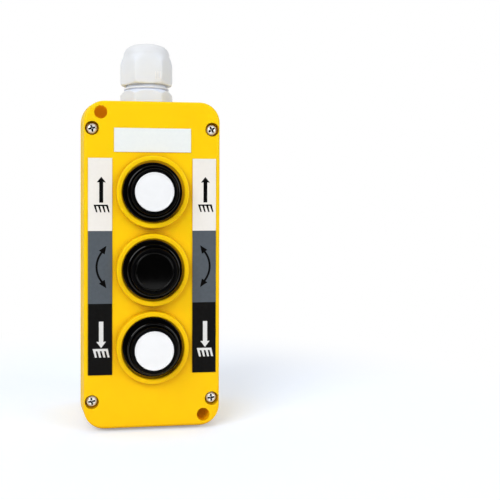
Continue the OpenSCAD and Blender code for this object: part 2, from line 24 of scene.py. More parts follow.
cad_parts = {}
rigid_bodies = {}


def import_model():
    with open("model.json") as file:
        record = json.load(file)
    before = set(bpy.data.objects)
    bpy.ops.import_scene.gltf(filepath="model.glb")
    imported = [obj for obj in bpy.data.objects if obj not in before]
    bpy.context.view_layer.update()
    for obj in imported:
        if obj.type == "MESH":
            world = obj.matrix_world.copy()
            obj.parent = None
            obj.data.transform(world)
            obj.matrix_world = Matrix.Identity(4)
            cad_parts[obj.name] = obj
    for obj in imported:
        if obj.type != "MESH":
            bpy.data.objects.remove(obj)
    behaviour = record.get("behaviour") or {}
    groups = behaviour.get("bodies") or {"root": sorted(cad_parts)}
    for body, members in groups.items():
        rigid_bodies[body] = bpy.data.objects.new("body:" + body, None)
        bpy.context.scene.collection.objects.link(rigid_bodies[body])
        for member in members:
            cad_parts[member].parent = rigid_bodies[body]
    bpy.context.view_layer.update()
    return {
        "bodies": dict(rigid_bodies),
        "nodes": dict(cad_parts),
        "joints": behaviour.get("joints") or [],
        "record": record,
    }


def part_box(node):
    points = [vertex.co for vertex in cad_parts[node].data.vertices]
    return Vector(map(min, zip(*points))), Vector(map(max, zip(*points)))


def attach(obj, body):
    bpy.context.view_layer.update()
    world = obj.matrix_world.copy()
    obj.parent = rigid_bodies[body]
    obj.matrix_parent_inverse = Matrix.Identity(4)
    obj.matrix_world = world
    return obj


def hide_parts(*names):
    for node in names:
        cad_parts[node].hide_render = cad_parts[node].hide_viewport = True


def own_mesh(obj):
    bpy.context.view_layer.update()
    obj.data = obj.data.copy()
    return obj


LOG = logging.getLogger("control_station")
MM = 0.001

BMesh = bmesh.types.BMesh
Socket = bpy.types.NodeSocket
Feeds = dict[str | int, Any]
Pair = tuple[float, float]
Triple = tuple[float, float, float]
Colour = tuple[float, float, float, float]


def srgb(red: float, green: float, blue: float) -> Colour:
    """Turns a display colour into the linear colour that a shader takes.

    Args:
        red: Red from 0 to 255.
        green: Green from 0 to 255.
        blue: Blue from 0 to 255.

    Returns:
        The linear colour with an alpha of 1.
    """

    def linear(value: float) -> float:
        """Returns one channel made linear."""
        share = value / 255
        return share / 12.92 if share <= 0.04045 else ((share + 0.055) / 1.055) ** 2.4

    return (linear(red), linear(green), linear(blue), 1.0)


def arc(span: float, steps: int) -> list[Pair]:
    """Returns the points of an arc of radius 1 that starts on X and spans some degrees."""
    turns = [math.radians(span) * i / steps for i in range(steps + 1)]
    return [(math.cos(turn), math.sin(turn)) for turn in turns]


class Slot(Enum):
    """Material slots of the CAD record."""

    CASE = "case_plastic"
    BUTTON = "button_black"
    INSERT_WHITE = "insert_white"
    INSERT_BLACK = "insert_black"
    GLAND = "gland_nylon"
    SEAL = "seal_rubber"
    SCREW = "screw_steel"
    SPRING = "spring_steel"
    CONTACT = "contact_brass"
    INNER = "inner_plastic"
    PLUNGER = "plunger_plastic"
    LABEL_WHITE = "label_white"
    LABEL_GREY = "label_grey"
    LABEL_BLACK = "label_black"


class NodeBench:
    """A node tree, with short ways to fill it."""

    def __init__(self, tree: bpy.types.NodeTree) -> None:
        """Opens the tree."""
        self.tree = tree

    def feed(self, node: bpy.types.Node, feeds: Feeds) -> None:
        """Sets or links inputs of a node.

        Args:
            node: The node.
            feeds: What goes into each input: a value, or the output of another node.
        """
        for key, value in feeds.items():
            if isinstance(value, Socket):
                self.tree.links.new(value, node.inputs[key])
            else:
                node.inputs[key].default_value = value

    def node(self, kind: str, feeds: Feeds, **settings: Any) -> bpy.types.Node:
        """Adds a node.

        Args:
            kind: Its type name, without the ShaderNode that it starts with.
            feeds: What goes into its inputs.
            **settings: Properties to set on it first.

        Returns:
            The new node.
        """
        node = self.tree.nodes.new(f"ShaderNode{kind}")
        for key, value in settings.items():
            setattr(node, key, value)
        self.feed(node, feeds)
        return node

    def add(self, kind: str, feeds: Feeds, out: str | int = 0, **settings: Any) -> Socket:
        """Adds a node and returns one of its outputs."""
        return self.node(kind, feeds, **settings).outputs[out]


class ShaderBench(NodeBench):
    """A new material with its shader, and the patterns to wire into it."""

    def __init__(self, name: str) -> None:
        """Makes the material.

        Args:
            name: Name of the material.
        """
        self.material = bpy.data.materials.new(name)
        self.material.use_nodes = True
        super().__init__(self.material.node_tree)
        self.shader = self.tree.nodes["Principled BSDF"]
        self.place = self.add("TexCoord", {}, "Object")

    @cached_property
    def axes(self) -> bpy.types.NodeOutputs:
        """Returns the place along X, Y and Z, in metres."""
        return self.node("SeparateXYZ", {0: self.place}).outputs

    @cached_property
    def flat(self) -> Socket:
        """Returns the place with its Y left out."""
        return self.add("CombineXYZ", {"X": self.axes["X"], "Z": self.axes["Z"]})

    def set(self, **values: Any) -> None:
        """Sets or links shader inputs by name, with underscores for spaces."""
        self.feed(self.shader, {key.replace("_", " "): value for key, value in values.items()})

    def noise(self, size: float, detail: float, stretch: Triple = (1, 1, 1)) -> Socket:
        """Returns noise from 0 to 1, with blots of a size in millimetres and octaves of finer detail."""
        place = self.add("Mapping", {"Vector": self.place, "Scale": stretch})
        return self.add("TexNoise", {"Vector": place, "Scale": 1 / (size * MM), "Detail": detail}, "Fac")

    def spread(self, value: Socket, low: float, high: float, start: float = 0.3, end: float = 0.7) -> Socket:
        """Returns a value that goes from low to high while a pattern goes from start to end."""
        feeds = {"Value": value, "From Min": start, "From Max": end, "To Min": low, "To Max": high}
        return self.add("MapRange", feeds, "Result", clamp=True)

    def ramp(self, axis: str, start: float, end: float, low: float = 0, high: float = 1) -> Socket:
        """Returns a value that goes from low to high between two places on an axis, in millimetres."""
        return self.spread(self.axes[axis], low, high, start * MM, end * MM)

    def away(self, x: float, z: float) -> Socket:
        """Returns the distance from the line along Y at X and Z, in metres."""
        line = (x * MM, 0, z * MM)
        return self.add("VectorMath", {0: self.flat, 1: line}, "Value", operation="DISTANCE")

    def blend(self, factor: Socket, first: Colour | Socket, second: Colour | Socket) -> Socket:
        """Mixes two colours, where the factor is the share of the second."""
        feeds = {"Factor": factor, 6: first, 7: second}
        return self.add("Mix", feeds, 2, data_type="RGBA", blend_type="MIX")

    def reckon(self, kind: str, value: Socket, *others: Socket) -> Socket:
        """Adds up or multiplies values.

        Args:
            kind: Name of the operation.
            value: First value.
            *others: The others, taken one after another.

        Returns:
            The result.
        """
        for other in others:
            value = self.add("Math", {0: value, 1: other}, operation=kind)
        return value

    def bump(self, *layers: tuple[Socket, float]) -> Socket:
        """Turns patterns into fine relief.

        Args:
            *layers: Pattern and depth in millimetres of each layer, from the lowest up.

        Returns:
            The normal.
        """
        below: Feeds = {}
        for height, depth in layers:
            feeds = {"Strength": 1.0, "Distance": depth * MM, "Height": height, **below}
            below = {"Normal": self.add("Bump", feeds, "Normal")}
        return below["Normal"]


@dataclass(frozen=True)
class Finish(ABC):
    """What a surface is made of.

    Attributes:
        name: Name of the material.
        colour: Main colour.
        shade: Colour that the main one drifts to.
        roughness: Mean roughness.
        gloss: Strength of the shine, where 0.5 is usual.
        refraction: Refractive index.
        swing: Shares of the mean roughness between which it changes.
    """

    name: str
    colour: Colour
    shade: Colour
    roughness: float
    gloss: float = 0.5
    refraction: float = 1.5
    swing: Pair = (0.9, 1.1)

    def material(self) -> bpy.types.Material:
        """Returns the material, which is made at the first call.

        Returns:
            The material.
        """
        ready = bpy.data.materials.get(self.name)
        if ready is None:
            bench = ShaderBench(self.name)
            self.coat(bench)
            ready = bench.material
        return ready

    def drifting(self, bench: ShaderBench, pattern: Socket) -> Socket:
        """Returns the main colour, which drifts to the other one with a pattern."""
        return bench.blend(bench.spread(pattern, 0, 1), self.colour, self.shade)

    def wear(
        self, bench: ShaderBench, skin: Socket, dull: Socket, *layers: tuple[Socket, float], **more: Any
    ) -> None:
        """Wires colour, roughness and relief into the shader.

        Args:
            bench: The material's bench.
            skin: The colour.
            dull: Pattern that the roughness follows.
            *layers: Pattern and depth of each layer of relief.
            **more: Further inputs of the shader.
        """
        rough = bench.spread(dull, *(self.roughness * share for share in self.swing))
        bench.set(Base_Color=skin, Roughness=rough, Normal=bench.bump(*layers))
        bench.set(IOR=self.refraction, Specular_IOR_Level=self.gloss, **more)

    @abstractmethod
    def coat(self, bench: ShaderBench) -> None:
        """Puts the finish on a new material's shader."""


@dataclass(frozen=True)
class MouldedPlastic(Finish):
    """Moulded plastic with a faint grain and a slow drift of its colour.

    Attributes:
        drift: Size of the colour blots.
        patch: Size of the duller and shinier patches.
        grain: Size of the surface grain.
        relief: Depth of the grain.
        swell: Length of the slow waves of the moulding.
        wave: Depth of those waves.
        glow: Weight of light that scatters under the skin.
        glow_depth: How deep that light goes.
        glow_tint: How deep it goes in red, green and blue, as shares of that.
    """

    refraction: float = 1.46
    swing: Pair = (0.88, 1.14)
    drift: float = 22.0
    patch: float = 3.5
    grain: float = 0.35
    relief: float = 0.004
    swell: float = 9.0
    wave: float = 0.02
    glow: float = 0.0
    glow_depth: float = 1.2
    glow_tint: Triple = (1.0, 1.0, 1.0)

    def skin(self, bench: ShaderBench) -> Socket:
        """Returns the colour of the plastic."""
        return self.drifting(bench, bench.noise(self.drift, 2))

    def mould(self, bench: ShaderBench, skin: Socket) -> None:
        """Wires the plastic with a colour.

        Args:
            bench: The material's bench.
            skin: The colour.
        """
        waves = (bench.noise(self.swell, 1), self.wave)
        fine = (bench.noise(self.grain, 3), self.relief)
        self.wear(bench, skin, bench.noise(self.patch, 3), waves, fine)
        if self.glow:
            bench.set(Subsurface_Weight=self.glow, Subsurface_Scale=self.glow_depth * MM)
            bench.set(Subsurface_Radius=self.glow_tint)

    def coat(self, bench: ShaderBench) -> None:
        """Puts the plastic on, in its own colour."""
        self.mould(bench, self.skin(bench))


@dataclass(frozen=True)
class Bore:
    """A bore of the case that runs along Y.

    Attributes:
        x: X of its axis.
        z: Height of its axis.
        radius: Its radius.
        light: Strength of the painted glow on its wall, which stands in for light let in through the
            plastic.
        fade: Width inside the radius over which its look fades out.
    """

    x: float
    z: float
    radius: float
    light: float
    fade: float = 0.1


@dataclass(frozen=True)
class CasePlastic(MouldedPlastic):
    """Thick yellow moulding, dull in its deep holes, with painted shade that turns it warmer and darker
    towards its foot, painted shade in nooks and holes, and a painted glow on the walls of holes and collars.

    Attributes:
        drift_share: How far the colour drifts to the other one at most.
        foot: Painted shade colour at the foot of the case, warmer and darker than the top.
        deep: Painted shade colour of the walls of deep holes.
        painted_nook_shade: Painted shade colour in nooks between close walls, where light bounces between
            them.
        nook_reach: How near walls must be for that.
        nook_open: Shares of open space between which the painted nook shade fades out.
        height: Height of the case.
        holes: The deep holes.
        face_y: Y that the holes start behind.
        hole_fade: Length over which their look sets in there.
        collars: Bores of the collars.
        collar_y: Y where the painted glow on the collars' walls starts, and where it ends.
        collar_fade: Lengths over which it sets in and ends.
        collar_lean: How far the painted glow on the collars' walls comes from the lower left.
        painted_glow_colour: Colour of the painted glow on the walls, which stands in for light let in
            through them.
    """

    swing: Pair = (0.9, 1.12)
    relief: float = 0.003
    wave: float = 0.012
    glow: float = 0.25
    glow_depth: float = 2.5
    glow_tint: Triple = (1.0, 0.5, 0.1)
    drift_share: float = 0.5
    # Painted shade colours: at the foot, on the walls of deep holes and in nooks.
    foot: Colour = (0.945, 0.55, 0.0, 1)
    deep: Colour = (0.73, 0.35, 0.0, 1)
    painted_nook_shade: Colour = (0.56, 0.3, 0.0, 1)
    nook_reach: float = 7.0
    nook_open: Pair = (0.25, 0.85)
    height: float = 171.0
    holes: tuple[Bore, ...] = (Bore(-26.5, 163.5, 3.6, 0.15), Bore(26.5, 7.5, 3.6, 0.07))
    face_y: float = -29.6
    hole_fade: float = 0.6
    collars: tuple[Bore, ...] = (
        Bore(0.0, 122.8, 16.35, 0.2),
        Bore(0.0, 83.1, 16.35, 0.06),
        Bore(0.0, 43.4, 16.35, 0.03),
    )
    collar_y: Pair = (-33.95, -29.7)
    collar_fade: Pair = (0.4, 0.1)
    collar_lean: float = 5.0
    painted_glow_colour: Colour = (1.0, 0.52, 0.01, 1)

    @staticmethod
    def within(
        bench: ShaderBench, bores: tuple[Bore, ...], behind: Socket, as_painted_glow: bool, lean: float = 0.0
    ) -> Socket:
        """Marks the walls of bores.

        Args:
            bench: The material's bench.
            bores: The bores.
            behind: 1 at the depth where the walls count, 0 elsewhere.
            as_painted_glow: Whether the mark is the strength of the bore's painted glow, not 1.
            lean: How far the painted glow comes from the lower left, 0 for glow from all round.

        Returns:
            The mark, 0 outside the bores.
        """
        marks = []
        for bore in bores:
            edge, inner = bore.radius * MM, (bore.radius - bore.fade) * MM
            mark = bench.spread(bench.away(bore.x, bore.z), bore.light if as_painted_glow else 1, 0, inner, edge)
            if lean:
                source = bench.away(bore.x - lean, bore.z - lean)
                far = bench.spread(source, 0, 1, edge, (bore.radius + lean) * MM)
                mark = bench.reckon("MULTIPLY", mark, far)
            marks.append(mark)
        return bench.reckon("MULTIPLY", bench.reckon("ADD", *marks), behind)

    def coat(self, bench: ShaderBench) -> None:
        """Puts the plastic on, with painted shade towards the foot, in nooks and in holes, and a painted
        glow in holes and on the collars' walls.

        Args:
            bench: The material's bench.
        """
        # Painted shade: the colour turns warmer and darker towards the foot of the case.
        skin = bench.blend(bench.ramp("Z", 0, self.height), self.foot, self.colour)
        drift = bench.spread(bench.noise(self.drift, 2), 0, self.drift_share)
        skin = bench.blend(drift, skin, self.shade)
        # Painted shade: nooks between close walls turn darker and more orange, the less open space there is
        # round them.
        open_space = bench.add("AmbientOcclusion", {"Distance": self.nook_reach * MM}, "AO", samples=8)
        skin = bench.blend(bench.spread(open_space, 0, 1, *self.nook_open), self.painted_nook_shade, skin)
        # Painted shade on the walls of the deep holes, which also lose their shine.
        behind = bench.ramp("Y", self.face_y, self.face_y + self.hole_fade)
        inside = self.within(bench, self.holes, behind, False)
        self.mould(bench, bench.blend(inside, skin, self.deep))
        # Painted glow: the walls of the holes and of the collars glow in the lamp colour, as if light came
        # through the plastic.
        (front, end), (onset, stop) = self.collar_y, self.collar_fade
        wall = bench.reckon(
            "MULTIPLY", bench.ramp("Y", front, front + onset), bench.ramp("Y", end - stop, end, 1, 0)
        )
        light = bench.reckon(
            "ADD",
            self.within(bench, self.holes, behind, True),
            self.within(bench, self.collars, wall, True, self.collar_lean),
        )
        bench.set(Specular_IOR_Level=bench.spread(inside, self.gloss, 0, 0, 1))
        bench.set(Emission_Strength=light, Emission_Color=self.painted_glow_colour)


@dataclass(frozen=True)
class GlandNylon(MouldedPlastic):
    """Moulded nylon with a painted cool tint at its foot, set against the warm light bounced from the case,
    and painted shade on its top.

    Attributes:
        foot: Painted cool colour at the foot, set against the warm light that the case bounces onto it.
        crown: Painted shade colour at the top, darker than the main one.
        heights: Heights between which the foot's colour changes to the main one.
        top_heights: Heights between which the main colour changes to the crown's.
    """

    foot: Colour = (0.7, 0.74, 0.9, 1)
    crown: Colour = (0.7, 0.71, 0.74, 1)
    heights: Pair = (174.0, 188.0)
    top_heights: Pair = (196.5, 204.5)

    def skin(self, bench: ShaderBench) -> Socket:
        """Returns the colour of the nylon, with the painted tint at its foot and painted shade at its top.
        """
        low = bench.blend(bench.ramp("Z", *self.heights), self.foot, super().skin(bench))
        return bench.blend(bench.ramp("Z", *self.top_heights), low, self.crown)


@dataclass(frozen=True)
class FlangeMoulding(MouldedPlastic):
    """Glossy plastic that is dull on the flank behind its front.

    Attributes:
        front_y: Y where the glossy front ends and the flank starts.
        fade: Length over which the shine goes there.
        flank_gloss: Strength of the shine on the flank.
    """

    front_y: float = -36.8
    fade: float = 0.25
    flank_gloss: float = 0.0

    def coat(self, bench: ShaderBench) -> None:
        """Puts the plastic on and dulls its flank.

        Args:
            bench: The material's bench.
        """
        super().coat(bench)
        flank_y = self.front_y + self.fade
        bench.set(Specular_IOR_Level=bench.ramp("Y", self.front_y, flank_y, self.gloss, self.flank_gloss))


@dataclass(frozen=True)
class PlatedMetal(Finish):
    """Metal with fine drawn scratches.

    Attributes:
        stain: Size of the colour blots.
        mark: Size of a scratch.
        scratch: Scale of the scratch pattern along each axis.
        relief: Depth of the scratches.
        metal: How metallic the reflection is, from 0 to 1.
    """

    swing: Pair = (0.8, 1.25)
    stain: float = 1.6
    mark: float = 0.9
    scratch: Triple = (1, 1, 9)
    relief: float = 0.002
    metal: float = 1.0

    def coat(self, bench: ShaderBench) -> None:
        """Puts the metal on.

        Args:
            bench: The material's bench.
        """
        marks = bench.noise(self.mark, 4, self.scratch)
        skin = self.drifting(bench, bench.noise(self.stain, 3))
        self.wear(bench, skin, marks, (marks, self.relief), Metallic=self.metal)


@dataclass(frozen=True)
class SoftRubber(Finish):
    """Dull rubber with a dusty bloom.

    Attributes:
        dust: Size of the patches of bloom.
        pores: Size of the pores.
        relief: Depth of the pores.
    """

    dust: float = 2.5
    pores: float = 0.25
    relief: float = 0.01

    def coat(self, bench: ShaderBench) -> None:
        """Puts the rubber on."""
        bloom = bench.noise(self.dust, 5)
        self.wear(bench, self.drifting(bench, bloom), bloom, (bench.noise(self.pores, 2), self.relief))


@dataclass(frozen=True)
class PrintedFilm(Finish):
    """Printed sheet or ink with a faint mottle.

    Attributes:
        mottle: Size of the mottle.
        patch: Size of the duller and shinier patches.
        tooth: Size of the paper's tooth.
        relief: Depth of the tooth.
    """

    refraction: float = 1.45
    swing: Pair = (0.92, 1.08)
    mottle: float = 1.8
    patch: float = 6.0
    tooth: float = 0.3
    relief: float = 0.002

    def coat(self, bench: ShaderBench) -> None:
        """Puts the film on.

        Args:
            bench: The material's bench.
        """
        skin = self.drifting(bench, bench.noise(self.mottle, 4))
        fine = (bench.noise(self.tooth, 2), self.relief)
        self.wear(bench, skin, bench.noise(self.patch, 2), fine)


FINISHES: dict[Slot, Finish] = {
    Slot.CASE: CasePlastic("yellow_moulding", (0.965, 0.64, 0.0, 1), (0.955, 0.585, 0.0, 1), 0.42, 0.16),
    Slot.BUTTON: FlangeMoulding(
        "black_button_moulding", srgb(3, 3, 4), srgb(5, 5, 6), 0.11, 0.33, drift=6, relief=0.001, wave=0.003
    ),
    Slot.INSERT_WHITE: MouldedPlastic(
        "white_insert", srgb(238, 240, 243), srgb(235, 237, 240), 0.35, 0.4,
        drift=5, relief=0.001, wave=0.002,
    ),
    Slot.INSERT_BLACK: MouldedPlastic(
        "black_insert", srgb(1, 1, 1), srgb(2, 2, 2), 0.12, 0.27, drift=5, relief=0.0005, wave=0.001
    ),
    Slot.GLAND: GlandNylon(
        "white_nylon", srgb(230, 235, 243), srgb(227, 232, 240), 0.45, 0.3, drift=8, grain=0.5,
        # The foot colour is a painted cool tint against bounced light, and the crown colour is painted shade
        # on the dome.
        glow=0.6, glow_depth=1.8, foot=srgb(220, 229, 252), crown=srgb(222, 224, 227),
    ),
    Slot.SEAL: SoftRubber("seal_rubber_finish", srgb(24, 23, 23), srgb(34, 33, 32), 0.8, 0.2),
    Slot.SCREW: PlatedMetal(
        "bright_plated_steel", srgb(248, 253, 255), srgb(242, 248, 253), 0.27, metal=0.22
    ),
    Slot.SPRING: PlatedMetal("drawn_spring_steel", srgb(176, 178, 182), srgb(150, 152, 156), 0.28),
    Slot.CONTACT: PlatedMetal("brushed_brass", srgb(214, 170, 92), srgb(186, 140, 70), 0.3),
    Slot.INNER: MouldedPlastic("grey_inner_moulding", srgb(74, 76, 80), srgb(64, 66, 70), 0.5),
    Slot.PLUNGER: MouldedPlastic("cream_plunger_moulding", srgb(214, 206, 186), srgb(204, 196, 176), 0.45),
    Slot.LABEL_WHITE: PrintedFilm("white_film", srgb(236, 233, 228), srgb(233, 230, 225), 0.5, 0.25),
    Slot.LABEL_GREY: PrintedFilm("slate_film", srgb(84, 91, 99), srgb(79, 86, 93), 0.5, 0.2),
    Slot.LABEL_BLACK: PrintedFilm("black_film", srgb(15, 14, 14), srgb(20, 20, 20), 0.5, 0.06),
}
PLATE_FILM = PrintedFilm("blank_plate_film", srgb(234, 239, 238), srgb(231, 236, 236), 0.5, 0.25)
INK_BLACK = PrintedFilm("black_ink", srgb(3, 3, 3), srgb(6, 6, 6), 0.6, 0.05)
INK_WHITE = PrintedFilm("white_ink", srgb(221, 222, 222), srgb(216, 217, 217), 0.55, 0.1)
CAP_SATIN = MouldedPlastic(
    "satin_cap_moulding", srgb(3, 3, 4), srgb(5, 5, 6), 0.3, 0.06, drift=6, relief=0.001, wave=0.002
)
# Painted highlight: a brighter copy of the gland's nylon for the grip ribs, so that they read as lit lines.
RIB_NYLON_HIGHLIGHT = MouldedPlastic(
    "rib_nylon_painted_highlight", srgb(250, 251, 254), srgb(246, 248, 252), 0.4, 0.4, drift=2
)
# Painted shade: dark steel for the faces deep in the cross recess.
CROSS_RECESS_SHADE = PlatedMetal("cross_recess_painted_shade", srgb(42, 41, 42), srgb(28, 27, 28), 0.5)


class MeshShop:
    """Makes meshes from outlines given in millimetres."""

    @staticmethod
    def wrap(name: str, mesh: BMesh, finish: Finish, smooth: bool = True) -> bpy.types.Object:
        """Turns a mesh under construction into an object with its finish.

        Args:
            name: Name of the piece.
            mesh: The mesh, in metres. It is freed.
            finish: Finish of the piece.
            smooth: Whether faces are shaded smooth.

        Returns:
            The new object.
        """
        bmesh.ops.recalc_face_normals(mesh, faces=mesh.faces[:])
        for face in mesh.faces:
            face.smooth = smooth
        data = bpy.data.meshes.new(name)
        mesh.to_mesh(data)
        mesh.free()
        data.materials.append(finish.material())
        piece = bpy.data.objects.new(name, data)
        bpy.context.scene.collection.objects.link(piece)
        return piece

    @staticmethod
    def turned(profile: list[Pair], steps: int) -> BMesh:
        """Turns a profile about the Z axis.

        Args:
            profile: Points of radius and height, from the axis to the axis.
            steps: Steps round the axis.

        Returns:
            The closed mesh, in metres.
        """
        mesh = bmesh.new()
        points = [mesh.verts.new((r * MM, 0, z * MM)) for r, z in profile]
        edges = [mesh.edges.new(pair) for pair in zip(points, points[1:])]
        turn = {"cent": (0, 0, 0), "axis": (0, 0, 1), "angle": 2 * math.pi}
        bmesh.ops.spin(mesh, geom=points + edges, steps=steps, use_merge=True, **turn)
        bmesh.ops.remove_doubles(mesh, verts=mesh.verts[:], dist=1e-7)
        return mesh

    @staticmethod
    def sleeve(rings: list[list[Triple]], closed: bool = False, into: BMesh | None = None) -> BMesh:
        """Stretches a surface over rings of as many points.

        Args:
            rings: The rings in order, each with its points in order.
            closed: Whether the last ring joins the first. Otherwise both ends get a flat face.
            into: Mesh to add the form to.

        Returns:
            That mesh, or a new one, in metres.
        """
        mesh = bmesh.new() if into is None else into
        loops = [[mesh.verts.new([value * MM for value in spot]) for spot in ring] for ring in rings]
        for here, there in zip(loops, loops[1:] + (loops[:1] if closed else [])):
            for k, vert in enumerate(here):
                m = (k + 1) % len(here)
                mesh.faces.new((vert, here[m], there[m], there[k]))
        if not closed:
            mesh.faces.new(loops[-1])
            mesh.faces.new(loops[0][::-1])
        return mesh

    @staticmethod
    def ring(profile: tuple[Pair, ...], steps: int) -> BMesh:
        """Turns a closed profile of radius and height, clear of the axis, about the Z axis."""
        turns = arc(360, steps)[:-1]
        return MeshShop.sleeve([[(r * x, r * y, z) for r, z in profile] for x, y in turns], closed=True)

    @staticmethod
    def slabs(forms: list[tuple[list[Pair], list[Pair]]], front_y: float, back_y: float) -> BMesh:
        """Makes solids that stand in the plane of the front, in one mesh.

        Args:
            forms: Front and back outline of each solid, as points of X and Z.
            front_y: Y of the front outlines.
            back_y: Y of the back outlines.

        Returns:
            The closed mesh, in metres.
        """
        whole = bmesh.new()
        for front, back in forms:
            rings = [[(x, front_y, z) for x, z in front], [(x, back_y, z) for x, z in back]]
            MeshShop.sleeve(rings, into=whole)
        return whole

    @staticmethod
    def facing(x: float, y: float, z: float, turn: float = 0.0) -> Matrix:
        """Returns the move that turns what points up to the front and brings it to a place."""
        tilt = Matrix.Rotation(math.pi / 2, 4, "X") @ Matrix.Rotation(math.radians(turn), 4, "Z")
        return Matrix.Translation((x * MM, y * MM, z * MM)) @ tilt


@dataclass
class SubAssembly(ABC):
    """A group of pieces that is dressed in one go.

    Attributes:
        frame: The loaded CAD frame.
    """

    frame: dict[str, Any]

    def dress(self, node: str, slot: Slot, own: Finish | None = None) -> None:
        """Gives a CAD node the finish of its slot, or one of its own.

        Args:
            node: Name of the CAD node.
            slot: Material slot of the node.
            own: Finish that only this node has.
        """
        piece = self.frame["nodes"][node]
        finish = (own or FINISHES[slot]).material()
        if not piece.data.materials:
            piece.data.materials.append(finish)
        for place in piece.material_slots:
            place.material = finish
        LOG.info("node %s: %s", node, finish.name)

    @staticmethod
    def add_piece(
        name: str,
        mesh: BMesh,
        slot: Slot,
        body: str = "case",
        sharp: float = 0.0,
        stands_for: str = "",
        own: Finish | None = None,
    ) -> bpy.types.Object:
        """Makes a piece of a mesh and puts it on its body.

        Args:
            name: Name of the piece.
            mesh: The mesh, in metres. It is freed.
            slot: Material slot that the piece takes its finish from.
            body: CAD body that carries it.
            sharp: Angle in degrees from which its edges are sharp, or 0 for faces that are all flat.
            stands_for: CAD node that it replaces, if any.
            own: Finish that only this piece has.

        Returns:
            The new piece.
        """
        piece = MeshShop.wrap(name, mesh, own or FINISHES[slot], smooth=sharp > 0)
        if sharp:
            piece.data.set_sharp_from_angle(angle=math.radians(sharp))
        if stands_for:
            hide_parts(stands_for)
        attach(piece, body)
        LOG.info("piece %s on %s: %d faces", name, body, len(piece.data.polygons))
        return piece

    @abstractmethod
    def build(self) -> None:
        """Builds and dresses the pieces."""


@dataclass
class Enclosure(SubAssembly):
    """The moulded two-part case with its gasket."""

    def build(self) -> None:
        """Dresses the cover, the housing and the gasket."""
        self.dress("front_cover", Slot.CASE)
        self.dress("rear_housing", Slot.CASE)
        self.dress("cover_gasket", Slot.SEAL)


